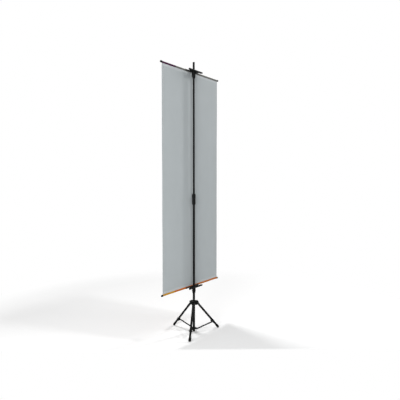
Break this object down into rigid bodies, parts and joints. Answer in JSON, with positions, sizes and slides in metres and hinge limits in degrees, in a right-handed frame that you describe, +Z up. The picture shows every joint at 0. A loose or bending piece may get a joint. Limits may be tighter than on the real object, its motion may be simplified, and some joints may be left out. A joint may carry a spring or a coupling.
{
  "type": "tripod banner stand",
  "caption": "Tall black telescopic pole on a folding tripod, with two slotted brackets that hold a pale banner between its rods.",
  "frame": {"origin": "centre of the flat lower end of the column, on the floor", "axes": "+Z up along the pole, +X along the banner's width, and the printed side of the banner faces -Y"},
  "size_m": [0.828, 0.3942, 2.4977],
  "materials": {
    "painted_tube": "satin black powder coat",
    "black_nylon": "moulded, fine grain",
    "rubber_foot": "matt",
    "rivet_steel": "blackened",
    "rod_aluminium": "drawn",
    "banner_cloth": "coated, pale grey back, printed front"
  },
  "bodies": {
    "base_column": {"lower_pole": "painted_tube", "column_plug": "rubber_foot", "brace_hub": "black_nylon", "hub_pin_1": "rivet_steel", "hub_pin_2": "rivet_steel", "hub_pin_3": "rivet_steel", "mid_clamp_body": "black_nylon", "banner_panel": "banner_cloth"},
    "leg_collar": {"leg_collar": "black_nylon", "collar_pin_1": "rivet_steel", "collar_pin_2": "rivet_steel", "collar_pin_3": "rivet_steel"},
    "leg_1": {"leg_head_1": "black_nylon", "leg_1": "painted_tube", "foot_1": "rubber_foot", "brace_saddle_1": "black_nylon"},
    "leg_2": {"leg_head_2": "black_nylon", "leg_2": "painted_tube", "foot_2": "rubber_foot", "brace_saddle_2": "black_nylon"},
    "leg_3": {"leg_head_3": "black_nylon", "leg_3": "painted_tube", "foot_3": "rubber_foot", "brace_saddle_3": "black_nylon"},
    "brace_1": {"brace_1": "painted_tube", "brace_rivet_1": "rivet_steel"},
    "brace_2": {"brace_2": "painted_tube", "brace_rivet_2": "rivet_steel"},
    "brace_3": {"brace_3": "painted_tube", "brace_rivet_3": "rivet_steel"},
    "collar_knob": {"collar_knob": "black_nylon"},
    "bottom_bracket": {"bottom_bracket": "black_nylon", "bottom_rod": "rod_aluminium", "rod_cap_bottom_left": "black_nylon", "rod_cap_bottom_right": "black_nylon", "banner_bottom_hem": "banner_cloth"},
    "bottom_nut": {"bottom_lock_nut": "black_nylon"},
    "upper_pole": {"upper_pole": "painted_tube", "pole_cap": "rubber_foot"},
    "mid_nut": {"mid_clamp_nut": "black_nylon"},
    "top_bracket": {"top_bracket": "black_nylon", "top_rod": "rod_aluminium", "rod_cap_top_left": "black_nylon", "rod_cap_top_right": "black_nylon", "banner_top_hem": "banner_cloth"},
    "top_nut": {"top_lock_nut": "black_nylon"}
  },
  "joints": [
    {"name": "tripod_fold", "type": "slide", "parent": "base_column", "child": "leg_collar", "axis": [0, 0, 1], "range_m": [0, 0.1705]},
    {"name": "collar_knob_turn", "type": "hinge", "parent": "leg_collar", "child": "collar_knob", "pos_m": [0, 0, 0.2715], "axis": [-0.866, -0.5, 0], "range_deg": [0, 360]},
    {"name": "leg_1_fold", "type": "hinge", "parent": "leg_collar", "child": "leg_1", "pos_m": [0, -0.035, 0.2695], "axis": [1, 0, 0], "range_deg": [0, 39.48]},
    {"name": "leg_2_fold", "type": "hinge", "parent": "leg_collar", "child": "leg_2", "pos_m": [0.03031, 0.0175, 0.2695], "axis": [-0.5, 0.866, 0], "range_deg": [0, 39.48]},
    {"name": "leg_3_fold", "type": "hinge", "parent": "leg_collar", "child": "leg_3", "pos_m": [-0.03031, 0.0175, 0.2695], "axis": [-0.5, -0.866, 0], "range_deg": [0, 39.48]},
    {"name": "brace_1_fold", "type": "hinge", "parent": "base_column", "child": "brace_1", "pos_m": [0, -0.024, 0.0255], "axis": [1, 0, 0], "range_deg": [-74.12, 0]},
    {"name": "brace_2_fold", "type": "hinge", "parent": "base_column", "child": "brace_2", "pos_m": [0.02078, 0.012, 0.0255], "axis": [-0.5, 0.866, 0], "range_deg": [-74.12, 0]},
    {"name": "brace_3_fold", "type": "hinge", "parent": "base_column", "child": "brace_3", "pos_m": [-0.02078, 0.012, 0.0255], "axis": [-0.5, -0.866, 0], "range_deg": [-74.12, 0]},
    {"name": "lower_bracket_slide", "type": "slide", "parent": "base_column", "child": "bottom_bracket", "axis": [0, 0, 1], "range_m": [0, 0.11], "deforming": ["banner_bottom_hem"]},
    {"name": "bottom_nut_turn", "type": "hinge", "parent": "bottom_bracket", "child": "bottom_nut", "pos_m": [0, 0, 0.396], "axis": [0, 0, 1], "range_deg": [0, 150]},
    {"name": "pole_extend", "type": "slide", "parent": "base_column", "child": "upper_pole", "axis": [0, 0, 1], "range_m": [-0.98, 0], "deforming": ["banner_panel"]},
    {"name": "mid_clamp_turn", "type": "hinge", "parent": "base_column", "child": "mid_nut", "pos_m": [0, 0, 1.2463], "axis": [0, 0, 1], "range_deg": [0, 150]},
    {"name": "top_bracket_slide", "type": "slide", "parent": "upper_pole", "child": "top_bracket", "axis": [0, 0, 1], "range_m": [-0.045, 0], "deforming": ["banner_top_hem"]},
    {"name": "top_nut_turn", "type": "hinge", "parent": "top_bracket", "child": "top_nut", "pos_m": [0, 0, 2.3834], "axis": [0, 0, 1], "range_deg": [0, 150]}
  ],
  "couplings": [
    {"joint": "leg_1_fold", "follows": "tripod_fold", "rad_per_m": 4.0402},
    {"joint": "leg_2_fold", "follows": "tripod_fold", "rad_per_m": 4.0402},
    {"joint": "leg_3_fold", "follows": "tripod_fold", "rad_per_m": 4.0402},
    {"joint": "brace_1_fold", "follows": "tripod_fold", "rad_per_m": -7.5853},
    {"joint": "brace_2_fold", "follows": "tripod_fold", "rad_per_m": -7.5853},
    {"joint": "brace_3_fold", "follows": "tripod_fold", "rad_per_m": -7.5853},
    {"joint": "lower_bracket_slide", "follows": "tripod_fold", "ratio": 0.645}
  ]
}
